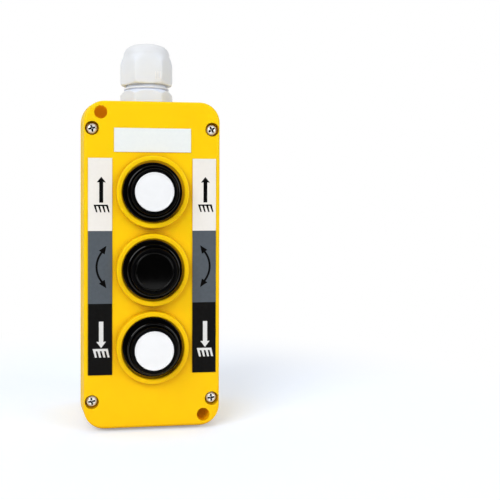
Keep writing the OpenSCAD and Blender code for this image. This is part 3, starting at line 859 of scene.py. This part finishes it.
@dataclass
class CoverScrews(SubAssembly):
    """Four screws with a cross recess in a domed head, and turned rings for a thread.

    Attributes:
        reach_x: X of the screws on each side of the middle.
        rows_z: Heights of the lower and the upper pair.
        seat_y: Y of the face that the heads sit on.
        head_r: Radius of the head.
        head_h: Height of the head.
        edge_h: Height of the upright edge of the head.
        edge_cut: Chamfer under that edge.
        dome: Powers that make the dome fuller than an arc, across and up.
        shank_r: Radius of the rings' crests.
        root_r: Radius between the rings.
        neck_r: Radius of the plain neck under the head.
        neck_l: Length of the neck.
        tip_r: Radius of the tip.
        shank_l: Length of the shank.
        plain_l: How far from the tip the rings start, and from the head the last one starts at least.
        pitch: Distance between two rings.
        rise: Length of a ring's flank, as a share of the pitch.
        cross_floor: Half of the length and width of a bar of the cross at its floor.
        cross_top: The same at the bar's top, above the head.
        depth: Depth of the cross.
        lift: How far the bars reach above the head.
        pit: Radius, depth under the cross and height over the head of the cone in its middle.
        soft: Width of the softened edges.
        recess: Distances from the axis between which faces of the recess lie, which take the painted shade.
        recess_z: Height that they lie above.
        sunk: How far they lie under the dome.
        turns: How far each cross is turned, in degrees: lower left, lower right, upper left, upper right.
    """

    reach_x: float = 30.95
    rows_z: Pair = (15.7, 155.3)
    seat_y: float = -26.2
    head_r: float = 2.72
    head_h: float = 2.35
    edge_h: float = 0.9
    edge_cut: float = 0.1
    dome: Pair = (0.8, 0.9)
    shank_r: float = 1.5
    root_r: float = 1.15
    neck_r: float = 1.2
    neck_l: float = 1.0
    tip_r: float = 0.6
    shank_l: float = 24.0
    plain_l: float = 1.5
    pitch: float = 1.1
    rise: float = 0.4
    cross_floor: Pair = (0.84, 0.376)
    cross_top: Pair = (2.44, 0.5076)
    depth: float = 1.6
    lift: float = 0.6
    pit: Triple = (0.78, 0.3, 0.5)
    soft: float = 0.06
    recess: Pair = (0.4, 2.176)
    recess_z: float = 0.45
    sunk: float = 0.12
    turns: tuple[float, ...] = (10.0, 7.0, 15.0, 33.0)

    def profile(self) -> list[Pair]:
        """Makes the outline of shank and head.

        Returns:
            Points of radius and height, from the tip to the crown.
        """
        points = [(0.0, -self.shank_l), (self.tip_r, -self.shank_l)]
        z = -self.shank_l + self.plain_l
        while z < -self.plain_l:
            points += [(self.root_r, z), (self.shank_r, z + self.rise * self.pitch)]
            z += self.pitch
        points += [(self.neck_r, -self.neck_l), (self.neck_r, 0.0)]
        points += [(self.head_r - self.edge_cut, 0.0), (self.head_r, self.edge_cut)]
        across, up = self.dome
        for x, y in arc(90, 12)[:-1]:
            points.append((self.head_r * x**across, self.edge_h + (self.head_h - self.edge_h) * y**up))
        return points + [(0.0, self.head_h)]

    def tools(self) -> list[bpy.types.Object]:
        """Makes the forms that the cross is cut with.

        Returns:
            Two tapered bars and a cone, which stand in the crown of the head.
        """
        floor = self.head_h - self.depth
        ends = ((self.cross_floor, floor), (self.cross_top, self.head_h + self.lift))
        rings = [[(-x, -y, z), (x, -y, z), (x, y, z), (-x, y, z)] for (x, y), z in ends]
        bars = [MeshShop.sleeve(rings), MeshShop.sleeve(rings)]
        bmesh.ops.rotate(bars[1], verts=bars[1].verts[:], matrix=Matrix.Rotation(math.pi / 2, 3, "Z"))
        radius, deeper, higher = self.pit
        top = self.head_h + higher
        cone = MeshShop.turned([(0.0, floor - deeper), (radius, top), (0.0, top)], 24)
        return [MeshShop.wrap("cutter", mesh, FINISHES[Slot.SCREW]) for mesh in (*bars, cone)]

    def model(self) -> bpy.types.Mesh:
        """Makes one screw with its cross, pointing up.

        Returns:
            The mesh of the screw, in metres.
        """
        blank = MeshShop.wrap("blank", MeshShop.turned(self.profile(), 72), FINISHES[Slot.SCREW])
        tools = self.tools()
        for tool in tools:
            cut = blank.modifiers.new("cross", "BOOLEAN")
            cut.operation = "DIFFERENCE"
            cut.solver = "EXACT"
            cut.object = tool
        edge = blank.modifiers.new("edge", "BEVEL")
        edge.width = self.soft * MM
        edge.segments = 2
        edge.limit_method = "ANGLE"
        edge.angle_limit = math.radians(40)
        bpy.context.view_layer.update()
        ready = blank.evaluated_get(bpy.context.evaluated_depsgraph_get())
        mesh = bpy.data.meshes.new_from_object(ready)
        for piece in [blank, *tools]:
            bpy.data.objects.remove(piece)
        return mesh

    def crown(self, radius: float) -> float:
        """Returns the height of the dome at a distance from its axis."""
        share = min(1.0, radius / self.head_r) ** (1 / self.dome[0])
        return self.edge_h + (self.head_h - self.edge_h) * math.sqrt(1 - share * share) ** self.dome[1]

    def shade_cross(self, mesh: bpy.types.Mesh) -> None:
        """Gives the faces of the cross recess a dark finish, which is painted shade of the deep recess.

        Args:
            mesh: One screw, pointing up.
        """
        mesh.materials.clear()
        mesh.materials.append(FINISHES[Slot.SCREW].material())
        mesh.materials.append(CROSS_RECESS_SHADE.material())
        near, far = self.recess
        for face in mesh.polygons:
            x, y, z = (value / MM for value in face.center)
            radius = math.hypot(x, y)
            # Faces deep in the recess take the painted shade.
            sunk = near < radius < far and self.recess_z < z < self.crown(radius) - self.sunk
            face.material_index = 1 if sunk else 0

    def build(self) -> None:
        """Builds the four screws as one piece that stands for the CAD ones."""
        pattern = self.model()
        self.shade_cross(pattern)
        whole = bmesh.new()
        spots = [(side * self.reach_x, z) for z in self.rows_z for side in (-1, 1)]
        for (x, z), turn in zip(spots, self.turns):
            count = len(whole.verts)
            whole.from_mesh(pattern)
            whole.verts.ensure_lookup_table()
            place = MeshShop.facing(x, self.seat_y, z, turn)
            bmesh.ops.transform(whole, matrix=place, verts=whole.verts[count:])
        piece = self.add_piece("cross_recess_screws", whole, Slot.SCREW, sharp=35, stands_for="cover_screws")
        piece.data.materials.append(CROSS_RECESS_SHADE.material())


@dataclass
class CableGland(SubAssembly):
    """The nylon cable gland on the top, with its clamping nut and the grip ribs of the nut.

    Attributes:
        axis_y: Y of the gland's axis.
        flat: Distance of the nut's flats from the axis.
        outline: Points of radius and height that the nut's hexagon is trimmed by.
        step_h: Height of one step of the nut's sides.
        dome_z: Height where the dome starts.
        top_z: Height of the dome's top.
        dome_r: Radius at the foot of the dome.
        hole_r: Radius of the hole in the dome.
        bore: Points of radius and height of the inside, from the top to the foot.
        soft: How much the nut's edges are softened.
        lip: Points of radius and height of the lip under the nut.
        rib_xs: X of the grip ribs on the front flat of the nut.
        rib_z: Lowest and highest point of the ribs.
        flat_y: Y of the front flat of the nut.
        rib_w: Half of the width of a rib.
        rib_h: How far a rib stands proud.
        rib_root: How deep its foot sits in the flat.
        rib_cut: How much its crest is drawn in at both ends.
    """

    axis_y: float = 8.0
    flat: float = 13.0
    outline: tuple[Pair, ...] = (
        (13.6, 183.0), (14.1, 183.15), (14.6, 183.9), (14.97, 185.0), (14.97, 193.6),
        (14.8, 194.8), (14.4, 196.1), (13.85, 197.5), (13.3, 198.7),
    )
    step_h: float = 0.6
    dome_z: float = 199.5
    top_z: float = 205.5
    dome_r: float = 13.0
    hole_r: float = 6.5
    bore: tuple[Pair, ...] = (
        (6.5, 205.2), (6.5, 203.6), (11.6, 200.7), (11.45, 198.5), (11.45, 183.3), (11.7, 183.0),
    )
    soft: float = 0.38
    lip: tuple[Pair, ...] = (
        (11.3, 180.5), (12.45, 180.5), (12.6, 180.65), (12.6, 181.2), (12.45, 181.4), (11.3, 181.5),
    )
    rib_xs: tuple[float, ...] = (3.9, 4.82, 5.74, 6.66)
    rib_z: Pair = (185.0, 189.4)
    flat_y: float = -5.0
    rib_w: float = 0.2
    rib_h: float = 0.16
    rib_root: float = 0.1
    rib_cut: float = 0.2

    def reach(self, radius: float, angle: float) -> float:
        """Works out how far the nut reaches in a direction.

        Args:
            radius: Radius that the hexagon is trimmed by.
            angle: Direction from the axis, where 0 is across a flat.

        Returns:
            The distance, with a softened edge where hexagon and trim meet.
        """
        sector = (angle + math.pi / 6) % (math.pi / 3) - math.pi / 6
        side = self.flat / math.cos(sector)
        gap = (side - radius) / self.soft
        return min(side, radius) - self.soft * math.log1p(math.exp(-abs(gap)))

    def nut(self) -> BMesh:
        """Makes the clamping nut.

        Returns:
            The closed mesh.
        """
        outside: list[Pair] = []
        for (r0, z0), (r1, z1) in zip(self.outline, self.outline[1:]):
            count = max(1, round(abs(z1 - z0) / self.step_h))
            outside += [(r0 + (r1 - r0) * i / count, z0 + (z1 - z0) * i / count) for i in range(count)]
        outside.append(self.outline[-1])
        wide, high = self.dome_r - self.hole_r, self.top_z - self.dome_z
        outside += [(self.hole_r + wide * x, self.dome_z + high * y) for x, y in arc(90, 18)]
        steps = 240
        angles = [2 * math.pi * i / steps for i in range(steps)]

        def ring(r: float, z: float, trimmed: bool) -> list[Triple]:
            """Returns the round or the trimmed outline at a height."""
            spots = [(self.reach(r, angle) if trimmed else r, angle) for angle in angles]
            return [(far * math.sin(a), self.axis_y - far * math.cos(a), z) for far, a in spots]

        rings = [ring(r, z, True) for r, z in outside] + [ring(r, z, False) for r, z in self.bore]
        return MeshShop.sleeve(rings, closed=True)

    def lip_ring(self) -> BMesh:
        """Makes the thin lip that shows in the gap under the nut.

        Returns:
            The closed mesh.
        """
        mesh = MeshShop.ring(self.lip, 144)
        bmesh.ops.translate(mesh, verts=mesh.verts[:], vec=(0, self.axis_y * MM, 0))
        return mesh

    def ribs(self) -> BMesh:
        """Makes the row of grip ribs.

        Returns:
            The closed mesh.
        """
        low, high = self.rib_z
        forms = []
        for x in self.rib_xs:
            outlines = []
            for wide, cut in ((self.rib_w / 2, self.rib_cut), (self.rib_w, 0)):
                left, right, foot, top = x - wide, x + wide, low + cut, high - cut
                outlines.append([(left, foot), (right, foot), (right, top), (left, top)])
            forms.append(tuple(outlines))
        return MeshShop.slabs(forms, self.flat_y - self.rib_h, self.flat_y + self.rib_root)

    def build(self) -> None:
        """Dresses the gland and adds its nut, the lip under it and the ribs."""
        self.dress("gland_body", Slot.GLAND)
        self.dress("gland_locknut", Slot.GLAND)
        self.dress("gland_seal", Slot.SEAL)
        self.dress("gland_washer", Slot.SEAL)
        self.add_piece("clamping_nut", self.nut(), Slot.GLAND, sharp=50, stands_for="gland_dome_nut")
        self.add_piece("gland_lip", self.lip_ring(), Slot.GLAND, sharp=40)
        # The ribs take the brighter copy of the nylon as painted highlight.
        self.add_piece("nut_grip_ribs", self.ribs(), Slot.GLAND, own=RIB_NYLON_HIGHLIGHT)


@dataclass(frozen=True)
class Arrow:
    """A straight arrow with a short comb under it, as drawn for raise and lower.

    Attributes:
        tip_z: Height of the point.
        head_z: Height of the head's base.
        barb: How far the base slopes back to the shaft, as a share of the head's height.
        tail_z: Height of the shaft's end.
        shaft_w: Half of the width of the shaft.
        head_w: Half of the width of the head.
        comb_z: Height of the comb's top.
        comb_foot_z: Height of the ends of its teeth.
        comb_x: X of the comb's bar, from its left to its right end.
        bar_t: Thickness of the bar.
        tooth_w: Width of a tooth at the bar and at its end.
        lean: How far a tooth leans to the right.
    """

    tip_z: float
    head_z: float
    tail_z: float
    shaft_w: float
    head_w: float
    comb_z: float
    comb_foot_z: float
    comb_x: Pair
    bar_t: float
    tooth_w: Pair
    lean: float
    barb: float = 0.036

    def outline(self, x: float, lift: float) -> list[Pair]:
        """Draws the arrow.

        Args:
            x: X of its middle.
            lift: How much higher than given it is printed.

        Returns:
            Points of X and Z.
        """
        neck_z = self.head_z + self.barb * (self.tip_z - self.head_z)
        right = [(self.head_w, self.head_z), (self.shaft_w, neck_z), (self.shaft_w, self.tail_z)]
        left = [(-px, pz) for px, pz in reversed(right)]
        return [(x + px, pz + lift) for px, pz in [(0.0, self.tip_z), *right, *left]]

    def comb(self, x: float, lift: float) -> list[Pair]:
        """Draws the comb with its four leaning teeth.

        Args:
            x: X of the arrow's middle.
            lift: How much higher than given it is printed.

        Returns:
            Points of X and Z.
        """
        left, right = x + self.comb_x[0], x + self.comb_x[1]
        bar_z = self.comb_z - self.bar_t
        under = self.lean * self.bar_t / (self.comb_z - self.comb_foot_z)
        wide, narrow = self.tooth_w
        inset = (wide - narrow) / 2
        points = [(left, self.comb_z), (right, self.comb_z)]
        for i in reversed(range(4)):
            start = left + i * (right - left - wide) / 3
            points.append((start + wide + under, bar_z))
            points.append((start + wide + self.lean - inset, self.comb_foot_z))
            points.append((start + self.lean + inset, self.comb_foot_z))
            points.append((start + under, bar_z))
        # The first tooth has no corner at the bar: its left edge runs straight up to the bar's end.
        return [(px, pz + lift) for px, pz in points[:-1]]


@dataclass(frozen=True)
class CurvedArrow:
    """A bowed arrow with a head at each end.

    Attributes:
        tip_z: Heights of the lower and the upper point.
        neck_z: Heights of the lower and the upper head's base.
        tip_x: How far the points are from the middle of the strip, towards the buttons.
        neck_x: How far the heads' bases are from it, towards the buttons.
        bow_x: How far the outside of the bow is from it, away from the buttons.
        stroke: Width of the line.
        head_w: Half of the width of a head.
    """

    tip_z: Pair = (73.8, 95.45)
    neck_z: Pair = (77.2, 92.05)
    tip_x: float = 2.65
    neck_x: float = 0.3
    bow_x: float = 2.85
    stroke: float = 1.02
    head_w: float = 1.75

    def outline(self, x: float, side: int) -> list[Pair]:
        """Draws the arrow.

        Args:
            x: X of the middle of the print.
            side: 1 where the buttons are to its right, -1 where they are to its left.

        Returns:
            Points of X and Z.
        """
        middle = sum(self.neck_z) / 2
        half = (self.neck_z[1] - self.neck_z[0]) / 2
        sag = self.neck_x + self.bow_x - self.stroke / 2
        radius = (half * half + sag * sag) / (2 * sag)
        centre = -self.bow_x + self.stroke / 2 + radius
        steps = 22
        turns = [math.asin(half / radius) * (2 * i / steps - 1) for i in range(steps + 1)]
        points: list[Pair] = []
        for end, sign in ((1, 1), (0, -1)):
            r = radius + sign * self.stroke / 2
            points += [(centre - r * math.cos(t), middle + r * math.sin(sign * t)) for t in turns]
            dx, dz = self.tip_x - self.neck_x, self.tip_z[end] - self.neck_z[end]
            spread = self.head_w / math.hypot(dx, dz)
            points.append((self.neck_x - dz * spread, self.neck_z[end] + dx * spread))
            points.append((self.tip_x, self.tip_z[end]))
            points.append((self.neck_x + dz * spread, self.neck_z[end] - dx * spread))
        return [(x + side * px, pz) for px, pz in points]


@dataclass
class LabelSet(SubAssembly):
    """The blank plate, the legend strips and the arrows printed on them.

    Attributes:
        strip_x: X of the middle of a strip.
        shift: How far the prints sit to the right of that middle.
        film_y: Y of the front of the strips.
        ink: How far the ink stands proud.
        root: How deep it sits in the strip.
        raise_arrow: Arrow of the upper fields.
        turn_arrow: Arrow of the middle fields.
        lower_arrow: Arrow of the lower fields.
        raise_lift: How much higher the upper arrow is printed, on the left and on the right.
        lower_lift: The same of the lower arrow.
    """

    strip_x: float = 26.8
    shift: float = 0.55
    film_y: float = -30.4
    ink: float = 0.03
    root: float = 0.02
    raise_arrow: Arrow = Arrow(
        tip_z=130.27, head_z=127.4, tail_z=117.14, shaft_w=1.0, head_w=2.35, comb_z=116.1,
        comb_foot_z=112.2, comb_x=(-3.9, 3.3), bar_t=0.75, tooth_w=(1.05, 0.7), lean=1.15,
    )
    turn_arrow: CurvedArrow = CurvedArrow()
    lower_arrow: Arrow = Arrow(
        tip_z=43.4, head_z=46.6, tail_z=56.85, shaft_w=1.12, head_w=2.45, comb_z=42.95,
        comb_foot_z=38.5, comb_x=(-4.3, 3.3), bar_t=1.15, tooth_w=(1.2, 1.0), lean=1.1,
    )
    raise_lift: Pair = (0.25, 0.45)
    lower_lift: Pair = (0.0, -0.75)

    def print_on(self, name: str, slot: Slot, ink: Finish, *outlines: list[Pair]) -> None:
        """Prints outlines on the strips, in an ink that goes with a material slot."""
        mesh = MeshShop.slabs([(o, o) for o in outlines], self.film_y - self.ink, self.film_y + self.root)
        self.add_piece(name, mesh, slot, own=ink)

    def build(self) -> None:
        """Dresses plate and strips, and prints the arrows."""
        self.dress("nameplate", Slot.LABEL_WHITE, PLATE_FILM)
        self.dress("legend_raise", Slot.LABEL_WHITE)
        self.dress("legend_turn", Slot.LABEL_GREY)
        self.dress("legend_lower", Slot.LABEL_BLACK)
        black, white = (Slot.LABEL_BLACK, INK_BLACK), (Slot.LABEL_WHITE, INK_WHITE)
        up, bow, down = self.raise_arrow, self.turn_arrow, self.lower_arrow
        for k, (side, where) in enumerate(((-1, "left"), (1, "right"))):
            x = side * self.strip_x + self.shift
            high, low = self.raise_lift[k], self.lower_lift[k]
            self.print_on(f"raise_arrow_{where}", *black, up.outline(x, high), up.comb(x, high))
            self.print_on(f"turn_arrow_{where}", *black, bow.outline(x, -side))
            self.print_on(f"lower_arrow_{where}", *white, down.outline(x, low), down.comb(x, low))


@dataclass
class Pushbutton(SubAssembly):
    """One pushbutton from its flange to its contacts.

    Attributes:
        name: What the button does.
        insert: Slot of the disc in the cap.
        middle_z: Height of the button's axis.
        face_y: Y of the face that the button stands on.
        seal: Points of radius and height of the rubber ring round the flange.
        disc_r: Radius of the disc in the cap.
        disc_low: Height of the disc's underside.
        disc_top: Height of the disc's edge.
        disc_cut: Chamfer of that edge.
        disc_crown: How far the middle of the disc bulges.
        bead_r: Radius of the bead round the disc.
        bead_w: Half of the width of the bead.
        bead_h: Height of the bead.
        wire_r: Radius of the return spring's wire.
        turns: Turns of the spring.
        closing: How much closer the turns are wound at both ends, where 1 is most.
        travel: How far the button goes in. Not used.
    """

    name: str
    insert: Slot
    middle_z: float
    face_y: float = -30.0
    seal: tuple[Pair, ...] = (
        (11.06, 0.02), (15.1, 0.02), (15.2, 0.1), (15.2, 0.95), (15.0, 1.15),
        (14.7, 1.15), (14.55, 1.05), (14.55, 0.96), (11.06, 0.96),
    )
    disc_r: float = 9.82
    disc_low: float = 9.62
    disc_top: float = 11.0
    disc_cut: float = 0.12
    disc_crown: float = 0.3
    bead_r: float = 9.3
    bead_w: float = 0.38
    bead_h: float = 0.2
    wire_r: float = 0.6
    turns: int = 6
    closing: float = 0.5
    travel: float = 4.0

    def stand(self, mesh: BMesh) -> BMesh:
        """Turns what points up to the front and puts it on the button's axis."""
        bmesh.ops.transform(mesh, matrix=MeshShop.facing(0, self.face_y, self.middle_z), verts=mesh.verts[:])
        return mesh

    def disc(self) -> BMesh:
        """Makes the disc in the cap, with a low bead round its edge.

        Returns:
            The closed mesh.
        """
        rim, top, steps = self.disc_r, self.disc_top, 12
        points = [(0.0, self.disc_low), (rim, self.disc_low)]
        points += [(rim, top - self.disc_cut), (rim - self.disc_cut, top)]
        points += [(self.bead_r + self.bead_w * x, top + self.bead_h * y) for x, y in arc(180, steps)]
        inner = self.bead_r - self.bead_w
        for share in (1 - i / steps for i in range(1, steps + 1)):
            points.append((inner * share, top + self.disc_crown * (1 - share * share)))
        return MeshShop.turned(points, 128)

    def coil(self, middle_r: float, foot: float, length: float) -> BMesh:
        """Winds the spring's wire, with its turns closer at both ends.

        Args:
            middle_r: Radius of the wire's middle line.
            foot: Height of the spring's foot.
            length: Length of the spring.

        Returns:
            The closed mesh.
        """
        section = [(self.wire_r * x, self.wire_r * y) for x, y in arc(360, 10)[:-1]]
        line = arc(360 * self.turns, 36 * self.turns)
        rings = []
        for i, (x, y) in enumerate(line):
            share = i / (len(line) - 1)
            closer = self.closing * math.sin(2 * math.pi * share) / (2 * math.pi)
            z = foot + self.wire_r + (length - 2 * self.wire_r) * (share - closer)
            rings.append([((middle_r + out) * x, (middle_r + out) * y, z + up) for out, up in section])
        return MeshShop.sleeve(rings)

    def add_spring(self) -> None:
        """Adds the return spring."""
        node = f"return_spring_{self.name}"
        low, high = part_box(node)
        middle_r = (high[0] - low[0]) / (2 * MM) - self.wire_r
        wound = self.coil(middle_r, self.face_y - high[1] / MM, (high[1] - low[1]) / MM)
        spring = self.add_piece(
            f"wound_spring_{self.name}", self.stand(wound), Slot.SPRING, sharp=50, stands_for=node
        )
        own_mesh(spring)

    def build(self) -> None:
        """Dresses every piece of the button and adds its disc, its gasket and its spring."""
        self.dress(f"cap_{self.name}", Slot.BUTTON, CAP_SATIN)
        self.add_piece(
            f"beaded_insert_{self.name}",
            self.stand(self.disc()),
            self.insert,
            body=f"button_{self.name}",
            sharp=40,
            stands_for=f"cap_disc_{self.name}",
        )
        self.add_piece(
            f"lipped_gasket_{self.name}",
            self.stand(MeshShop.ring(self.seal, 128)),
            Slot.SEAL,
            sharp=40,
            stands_for=f"panel_gasket_{self.name}",
        )
        self.add_spring()
        for piece, slot in (
            ("button_body", Slot.BUTTON),
            ("stem_seal", Slot.SEAL),
            ("fixing_nut", Slot.INNER),
            ("plunger", Slot.PLUNGER),
            ("contact_block", Slot.INNER),
            ("contact_bridge", Slot.CONTACT),
            ("fixed_contacts", Slot.CONTACT),
            ("terminal_screws", Slot.SCREW),
        ):
            self.dress(f"{piece}_{self.name}", slot)


@dataclass(frozen=True)
class SoftBox:
    """A square studio lamp.

    Attributes:
        name: Name of the lamp.
        place: Where it stands, in metres.
        aim: What it points at, in metres.
        side: Length of its side, in metres.
        level: Brightness of its face, where 1 is white.
        mirrored: Whether glossy surfaces show it.
    """

    name: str
    place: Triple
    aim: Triple
    side: float
    level: float
    mirrored: bool = True

    def build(self) -> None:
        """Makes the lamp."""
        lamp = bpy.data.lights.new(self.name, "AREA")
        lamp.shape = "SQUARE"
        lamp.size = self.side
        lamp.energy = self.level * math.pi * self.side**2
        holder = bpy.data.objects.new(self.name, lamp)
        holder.location = self.place
        look = Vector(self.aim) - Vector(self.place)
        holder.rotation_euler = look.to_track_quat("-Z", "Y").to_euler()
        holder.visible_glossy = self.mirrored
        bpy.context.scene.collection.objects.link(holder)
        LOG.info("lamp %s: %.1f W", self.name, lamp.energy)


@dataclass
class Studio:
    """Floor, surroundings and lamps.

    Attributes:
        floor_x: Left and right end of the floor, in metres.
        floor_y: Front and back end of the floor, in metres.
        floor_glow: Share of the floor's white that shadows don't touch.
        floor_shade: Share of the floor's white that shadows take away.
        floor_bounce: Share of the light that the floor gives back to the object.
        floor_white: Distances from the object where shadows start to fade and are gone, in metres.
        room: Brightness of the surroundings at some places, from 0 for the front to 1 for the back.
        lamps: The lamps.
    """

    floor_x: Pair = (-2.5, 2.5)
    floor_y: Pair = (-0.42, 3.5)
    floor_glow: float = 0.27
    floor_shade: Colour = (0.74, 0.83, 0.99, 1)
    floor_bounce: Colour = (0.8, 0.8, 0.8, 1)
    floor_white: Pair = (0.07, 0.26)
    room: tuple[Pair, ...] = ((0.0, 0.04), (0.2, 0.04), (0.5, 0.55), (0.8, 0.6))
    lamps: tuple[SoftBox, ...] = (
        SoftBox("key_left", (-1.2, -1.5, 1.25), (0, 0, 0.09), 1.4, 6.0),
        SoftBox("fill_right", (1.5, -1.4, 0.7), (0, 0, 0.09), 1.3, 3.6),
        SoftBox("front_low", (0.0, -1.1, 0.12), (0, 0, 0.07), 0.6, 0.6, False),
        SoftBox("top_light", (0.0, 0.1, 1.2), (0, 0, 0.1), 1.0, 0.4),
    )

    def floor(self) -> None:
        """Makes the pale floor, which keeps the object's shadow and is white further away."""
        material = bpy.data.materials.new("pale_floor")
        material.use_nodes = True
        material.node_tree.nodes.clear()
        bench = NodeBench(material.node_tree)
        shade = bench.add("BsdfDiffuse", {"Color": self.floor_shade})
        near = bench.add("AddShader", {0: shade, 1: bench.add("Emission", {"Strength": self.floor_glow})})
        place = bench.add("TexCoord", {}, "Object")
        away = bench.add("VectorMath", {0: place}, "Value", operation="LENGTH")
        feeds = {"Value": away, "From Min": self.floor_white[0], "From Max": self.floor_white[1]}
        fade = bench.add("MapRange", feeds, "Result", interpolation_type="SMOOTHSTEP")
        shown = bench.add("MixShader", {0: fade, 1: near, 2: bench.add("Emission", {})})
        plain = bench.add("BsdfDiffuse", {"Color": self.floor_bounce})
        seen = bench.add("LightPath", {}, "Is Camera Ray")
        bench.node("OutputMaterial", {"Surface": bench.add("MixShader", {0: seen, 1: plain, 2: shown})})
        (left, right), (front, back) = self.floor_x, self.floor_y
        data = bpy.data.meshes.new("studio_floor")
        spots = [(left, front, 0), (right, front, 0), (right, back, 0), (left, back, 0)]
        data.from_pydata(spots, [], [(0, 1, 2, 3)])
        data.materials.append(material)
        floor = bpy.data.objects.new("studio_floor", data)
        bpy.context.scene.collection.objects.link(floor)

    def surroundings(self) -> None:
        """Makes a white background and a soft room that is dark before the object."""
        world = bpy.data.worlds.new("studio")
        world.use_nodes = True
        world.node_tree.nodes.clear()
        bench = NodeBench(world.node_tree)
        way = bench.add("SeparateXYZ", {0: bench.add("TexCoord", {}, "Generated")}, "Y")
        along = bench.add("MapRange", {"Value": way, "From Min": -1.0}, "Result")
        ramp = bench.node("ValToRGB", {"Fac": along})
        while len(ramp.color_ramp.elements) < len(self.room):
            ramp.color_ramp.elements.new(0.5)
        for element, (where, level) in zip(ramp.color_ramp.elements, self.room):
            element.position = where
            element.color = (level, level, level, 1)
        room = bench.add("Background", {"Color": ramp.outputs["Color"]})
        white = bench.add("Background", {"Color": (1, 1, 1, 1)})
        seen = bench.add("LightPath", {}, "Is Camera Ray")
        bench.node("OutputWorld", {"Surface": bench.add("MixShader", {0: seen, 1: room, 2: white})})
        bpy.context.scene.world = world

    def build(self) -> None:
        """Builds the studio."""
        self.floor()
        self.surroundings()
        for lamp in self.lamps:
            lamp.build()
        bpy.context.scene.view_settings.view_transform = "Standard"


@dataclass
class PhotoCamera:
    """The camera of the photograph.

    Attributes:
        place: Where it stands.
        yaw: Turn to the right, in radians.
        pitch: Tilt upwards, in radians.
        roll: Roll, in radians.
        sensor: Width of the sensor.
        lens: Focal length.
        shift: Shift of the picture across and up, as shares of its width.
    """

    place: Triple = (-34.255, -387.634, 118.236)
    yaw: float = 0.127441
    pitch: float = -0.0126875
    roll: float = 0.0020558
    sensor: float = 36.0
    lens: float = 50.4
    shift: Pair = (0.15, -0.08)

    def build(self) -> None:
        """Makes the camera and sets it."""
        data = bpy.data.cameras.new("photo_camera")
        data.sensor_width = self.sensor
        data.lens = self.lens
        data.shift_x, data.shift_y = self.shift
        data.clip_start = 0.01
        level = math.cos(self.pitch)
        ahead = Vector((math.sin(self.yaw) * level, math.cos(self.yaw) * level, math.sin(self.pitch)))
        across = Vector((math.cos(self.yaw), -math.sin(self.yaw), 0.0))
        above = across.cross(ahead)
        right = math.cos(self.roll) * across + math.sin(self.roll) * above
        up = -math.sin(self.roll) * across + math.cos(self.roll) * above
        turn = Matrix((right, up, -ahead)).transposed().to_4x4()
        camera = bpy.data.objects.new("photo_camera", data)
        bpy.context.scene.collection.objects.link(camera)
        camera.matrix_world = Matrix.Translation(Vector(self.place) * MM) @ turn
        bpy.context.scene.camera = camera
        LOG.info("camera set")


def main() -> None:
    """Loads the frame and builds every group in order."""
    logging.basicConfig(level=logging.INFO, format="%(message)s")
    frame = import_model()
    PhotoCamera().build()
    groups: list[SubAssembly] = [
        Enclosure(frame),
        CoverScrews(frame),
        CableGland(frame),
        LabelSet(frame),
        Pushbutton(frame, "raise", Slot.INSERT_WHITE, 122.8),
        Pushbutton(frame, "turn", Slot.INSERT_BLACK, 83.1),
        Pushbutton(frame, "lower", Slot.INSERT_WHITE, 43.4),
    ]
    for group in groups:
        group.build()
        LOG.info("%s done", type(group).__name__)
    Studio().build()


if __name__ == "__main__":
    main()
